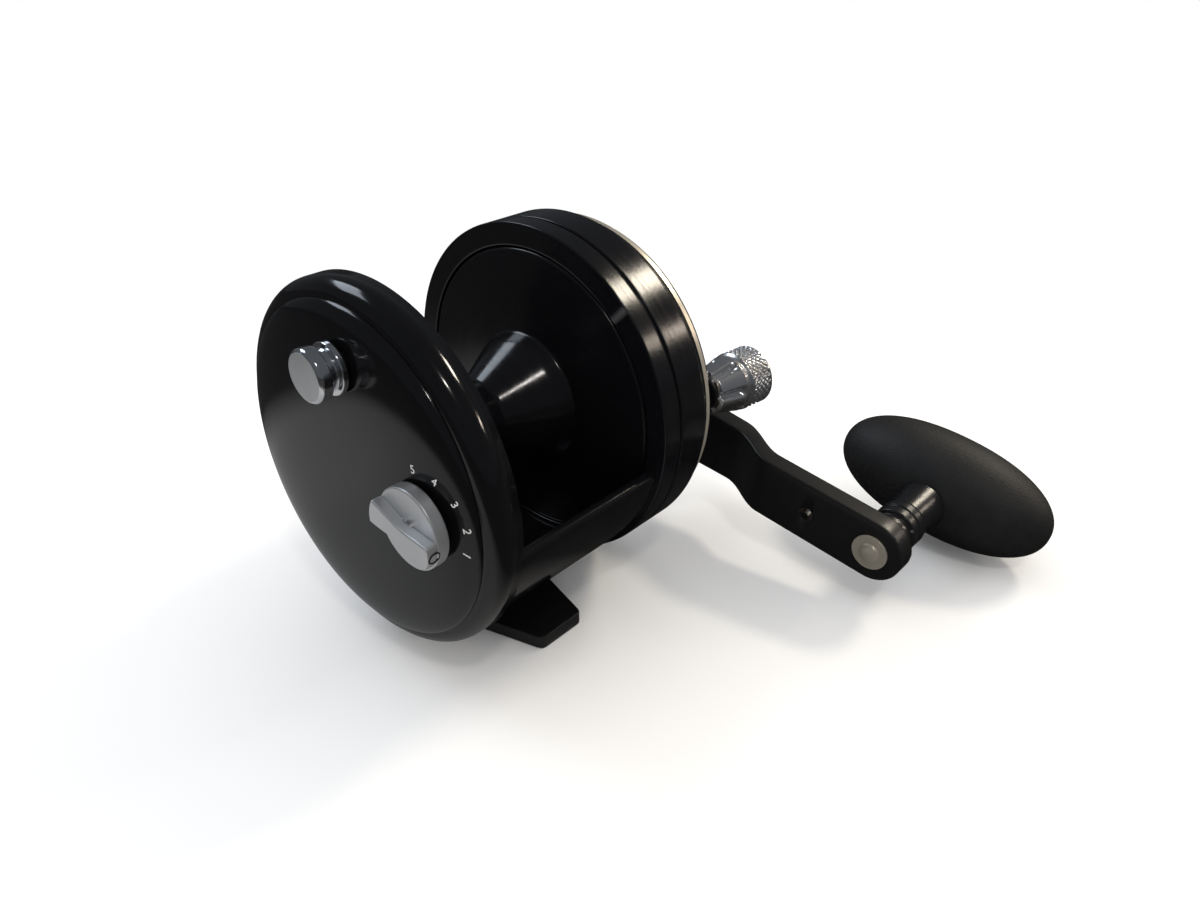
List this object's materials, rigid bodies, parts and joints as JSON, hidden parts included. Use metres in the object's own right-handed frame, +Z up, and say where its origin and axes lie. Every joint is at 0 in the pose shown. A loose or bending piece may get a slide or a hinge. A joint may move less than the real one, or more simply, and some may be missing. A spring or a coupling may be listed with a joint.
{
  "type": "trolling reel",
  "caption": "Lever-drag trolling reel with an open-top one-piece frame, cranked handle with an oval grip, drag lever, cast-control dial and clicker button.",
  "frame": {"origin": "middle of the flat underside of the reel foot", "axes": "+X along the spool axis towards the handle, +Y towards the rod tip, +Z up from the foot to the spool"},
  "size_m": [0.1308, 0.123, 0.0765],
  "materials": {
    "polished_black": "polished black anodised aluminium",
    "spool_black": "turned and anodised gloss black aluminium",
    "satin_black": "satin black anodised aluminium",
    "collar_black": "turned black anodised aluminium",
    "grip_rubber": "matte fine-grained rubber",
    "bright_alloy": "bead-blasted faces and polished edges",
    "champagne": "champagne anodised",
    "steel": "machined stainless steel",
    "brass": "cut bronze",
    "carbon": "woven carbon friction disc"
  },
  "bodies": {
    "reel": {"frame": "polished_black", "left_cover": "polished_black", "left_cover_screws": "steel", "clicker_spring": "steel", "shaft_bush": "brass", "gear_plate": "polished_black", "pinion_bearing": "steel", "gear_bearing_inner": "steel", "gear_bearing_outer": "steel", "gear_plate_screws": "steel", "trim_ring": "bright_alloy", "right_cover": "polished_black", "right_cover_screws": "steel", "cam_ring": "steel", "dog_springs": "steel", "reel_foot": "satin_black", "foot_screws": "steel"},
    "clicker": {"clicker_button": "bright_alloy", "clicker_pawl": "steel"},
    "dial": {"cast_dial": "bright_alloy", "dial_set_screw": "steel", "dial_shaft": "steel"},
    "brake": {"magnet_carrier": "satin_black", "brake_magnets": "steel"},
    "shaft": {"spool_shaft": "steel"},
    "spool": {"spool": "spool_black", "click_ratchet": "steel", "spool_bearing_left": "steel", "spool_bearing_right": "steel", "drag_washer": "carbon", "drag_springs": "steel"},
    "pinion": {"pressure_plate": "steel", "pinion_cluster": "brass"},
    "low_gear": {"low_gear": "brass"},
    "front_dog": {"front_dog": "steel"},
    "rear_dog": {"rear_dog": "steel"},
    "crank": {"gear_shaft": "steel", "high_gear": "brass", "ratchet_wheel": "steel", "handle_arm": "satin_black", "handle_nut": "steel", "nut_lock_screw": "steel", "shift_spring": "steel", "grip_spindle": "steel", "grip_screw": "champagne", "grip_washer": "champagne"},
    "shift": {"shift_button": "bright_alloy"},
    "grip": {"grip": "grip_rubber", "grip_bearings": "steel", "grip_collar": "collar_black"},
    "lever": {"drag_lever": "satin_black", "lever_knob": "bright_alloy", "preset_spring": "steel"},
    "preset": {"preset_knob": "satin_black"}
  },
  "joints": [
    {"name": "crank_spin", "type": "hinge", "parent": "reel", "child": "crank", "pos_m": [0.03625, -0.00693, 0.0231], "axis": [1, 0, 0], "continuous": true},
    {"name": "grip_spin", "type": "hinge", "parent": "crank", "child": "grip", "pos_m": [0.05425, -0.06825, 0.01394], "axis": [1, 0, 0], "continuous": true},
    {"name": "shift_press", "type": "slide", "parent": "crank", "child": "shift", "axis": [-1, 0, 0], "range_m": [0, 0.0025], "stiffness_N_per_m": 400, "deforming": ["shift_spring"]},
    {"name": "low_gear_spin", "type": "hinge", "parent": "reel", "child": "low_gear", "pos_m": [0.03625, -0.00693, 0.0231], "axis": [1, 0, 0], "continuous": true},
    {"name": "pinion_spin", "type": "hinge", "parent": "reel", "child": "pinion", "pos_m": [0, -0.005, 0.0415], "axis": [1, 0, 0], "continuous": true},
    {"name": "drag_travel", "type": "slide", "parent": "reel", "child": "shaft", "axis": [1, 0, 0], "range_m": [0, 0.00035]},
    {"name": "spool_spin", "type": "hinge", "parent": "shaft", "child": "spool", "pos_m": [0, -0.005, 0.0415], "axis": [1, 0, 0], "continuous": true},
    {"name": "drag_lever", "type": "hinge", "parent": "reel", "child": "lever", "pos_m": [0.03625, -0.005, 0.0415], "axis": [-1, 0, 0], "range_deg": [0, 118]},
    {"name": "preset_turn", "type": "hinge", "parent": "lever", "child": "preset", "pos_m": [0.04025, -0.005, 0.0415], "axis": [1, 0, 0], "range_deg": [0, 270]},
    {"name": "clicker_slide", "type": "slide", "parent": "reel", "child": "clicker", "axis": [0, 0.0872, -0.9962], "range_m": [0, 0.004]},
    {"name": "cast_dial", "type": "hinge", "parent": "reel", "child": "dial", "pos_m": [-0.02625, -0.02599, 0.04223], "axis": [-1, 0, 0], "range_deg": [0, 125]},
    {"name": "brake_slide", "type": "slide", "parent": "reel", "child": "brake", "axis": [1, 0, 0], "range_m": [0, 0.0012]},
    {"name": "front_dog_lift", "type": "hinge", "parent": "reel", "child": "front_dog", "pos_m": [0.02825, 0.00527, 0.0251], "axis": [1, 0, 0], "range_deg": [0, 14], "stiffness_Nm_per_rad": 0.0006},
    {"name": "rear_dog_lift", "type": "hinge", "parent": "reel", "child": "rear_dog", "pos_m": [0.02825, -0.01913, 0.0251], "axis": [-1, 0, 0], "range_deg": [0, 14], "stiffness_Nm_per_rad": 0.0006}
  ],
  "couplings": [
    {"joint": "pinion_spin", "follows": "crank_spin", "ratio": -4.6923},
    {"joint": "spool_spin", "follows": "crank_spin", "ratio": -4.6923},
    {"joint": "low_gear_spin", "follows": "crank_spin", "ratio": 1.621},
    {"joint": "drag_travel", "follows": "drag_lever", "m_per_rad": 0.00016},
    {"joint": "brake_slide", "follows": "cast_dial", "m_per_rad": 0.00054}
  ]
}
